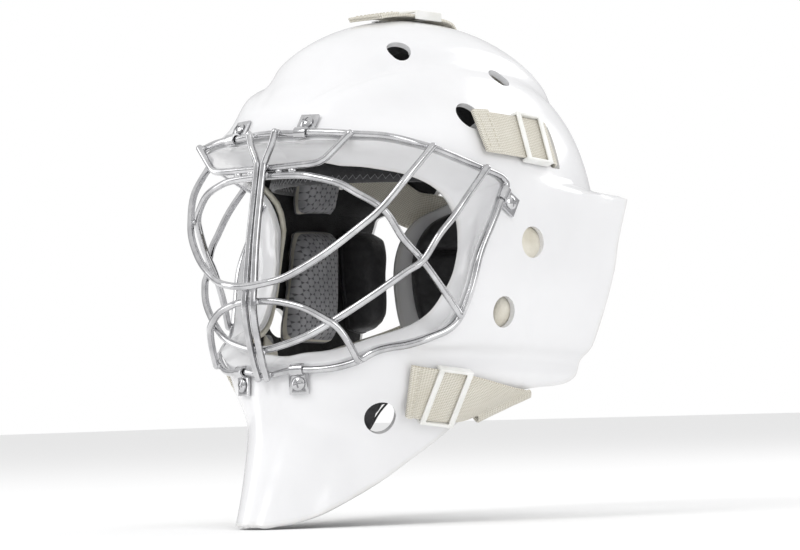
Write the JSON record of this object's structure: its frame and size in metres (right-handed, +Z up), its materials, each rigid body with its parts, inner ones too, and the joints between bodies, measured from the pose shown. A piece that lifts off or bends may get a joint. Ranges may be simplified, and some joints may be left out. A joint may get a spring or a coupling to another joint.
{
  "type": "ice hockey goalie mask",
  "caption": "Moulded goalie mask with an open eye port behind a welded wire cage, a hinged backplate, an elastic strap harness and a foam liner.",
  "frame": {"origin": "centre of the wearer's head, on the mask's middle plane", "axes": "+Z up, the face looks along -Y, the wearer's left is +X"},
  "size_m": [0.2374, 0.2951, 0.3565],
  "materials": {
    "shell_white": "gloss white moulded composite",
    "backplate_white": "gloss white moulded plastic",
    "cage_chrome": "bright chrome-plated steel wire",
    "rivet_steel": "satin",
    "elastic_webbing": "ribbed cream woven elastic",
    "slider_plastic": "off-white nylon",
    "black_foam": "matt black fabric over foam",
    "grey_foam": "grey honeycomb-printed fabric over foam",
    "cream_foam": "matt cream foam channel"
  },
  "bodies": {
    "mask": {"shell": "shell_white", "port_gasket": "cream_foam", "cage_frame": "cage_chrome", "cage_brow_bar": "cage_chrome", "cage_eye_bar": "cage_chrome", "cage_upper_sweep": "cage_chrome", "cage_lower_sweep": "cage_chrome", "cage_mouth_bar": "cage_chrome", "cage_center_left": "cage_chrome", "cage_center_right": "cage_chrome", "clip_top_left": "cage_chrome", "clip_top_right": "cage_chrome", "clip_side_left": "cage_chrome", "clip_side_right": "cage_chrome", "clip_bottom_left": "cage_chrome", "clip_bottom_right": "cage_chrome", "cage_screws": "cage_chrome", "cage_nuts": "cage_chrome", "top_strap": "elastic_webbing", "upper_strap_left": "elastic_webbing", "upper_strap_right": "elastic_webbing", "lower_strap_left": "elastic_webbing", "lower_strap_right": "elastic_webbing", "strap_rivets": "rivet_steel", "sweatband": "black_foam", "forehead_pad": "black_foam", "crown_pad": "black_foam", "temple_pad_left": "grey_foam", "temple_pad_right": "grey_foam", "cheek_pad_left": "grey_foam", "cheek_pad_right": "grey_foam", "jaw_pad_left": "grey_foam", "jaw_pad_right": "grey_foam", "chin_snaps": "rivet_steel"},
    "backplate": {"backplate": "backplate_white", "backplate_pad": "black_foam", "backplate_leads": "elastic_webbing", "backplate_rivets": "rivet_steel"},
    "chin_cup": {"chin_cup": "black_foam", "chin_strap_left": "elastic_webbing", "chin_strap_right": "elastic_webbing"},
    "top_slider": {"top_slider": "slider_plastic"},
    "upper_slider_left": {"upper_slider_left": "slider_plastic"},
    "upper_slider_right": {"upper_slider_right": "slider_plastic"},
    "lower_slider_left": {"lower_slider_left": "slider_plastic"},
    "lower_slider_right": {"lower_slider_right": "slider_plastic"}
  },
  "joints": [
    {"name": "backplate_swing", "type": "hinge", "parent": "mask", "child": "backplate", "pos_m": [0, 0.1, 0.0965], "axis": [1, 0, 0], "range_deg": [0, 28], "stiffness_Nm_per_rad": 1},
    {"name": "chin_cup_swing", "type": "hinge", "parent": "mask", "child": "chin_cup", "pos_m": [0, -0.04761, -0.06395], "axis": [1, 0, 0], "range_deg": [-4, 35]},
    {"name": "top_slider_travel", "type": "slide", "parent": "mask", "child": "top_slider", "axis": [0, -0.9996, 0.0285], "range_m": [-0.004, 0.012]},
    {"name": "upper_slider_left_travel", "type": "slide", "parent": "mask", "child": "upper_slider_left", "axis": [-0.0031, -0.9957, 0.0926], "range_m": [-0.003, 0.012]},
    {"name": "upper_slider_right_travel", "type": "slide", "parent": "mask", "child": "upper_slider_right", "axis": [0.0031, -0.9957, 0.0926], "range_m": [-0.003, 0.012]},
    {"name": "lower_slider_left_travel", "type": "slide", "parent": "mask", "child": "lower_slider_left", "axis": [-0.2769, -0.9514, 0.135], "range_m": [-0.004, 0.01]},
    {"name": "lower_slider_right_travel", "type": "slide", "parent": "mask", "child": "lower_slider_right", "axis": [0.2769, -0.9514, 0.135], "range_m": [-0.004, 0.01]}
  ]
}
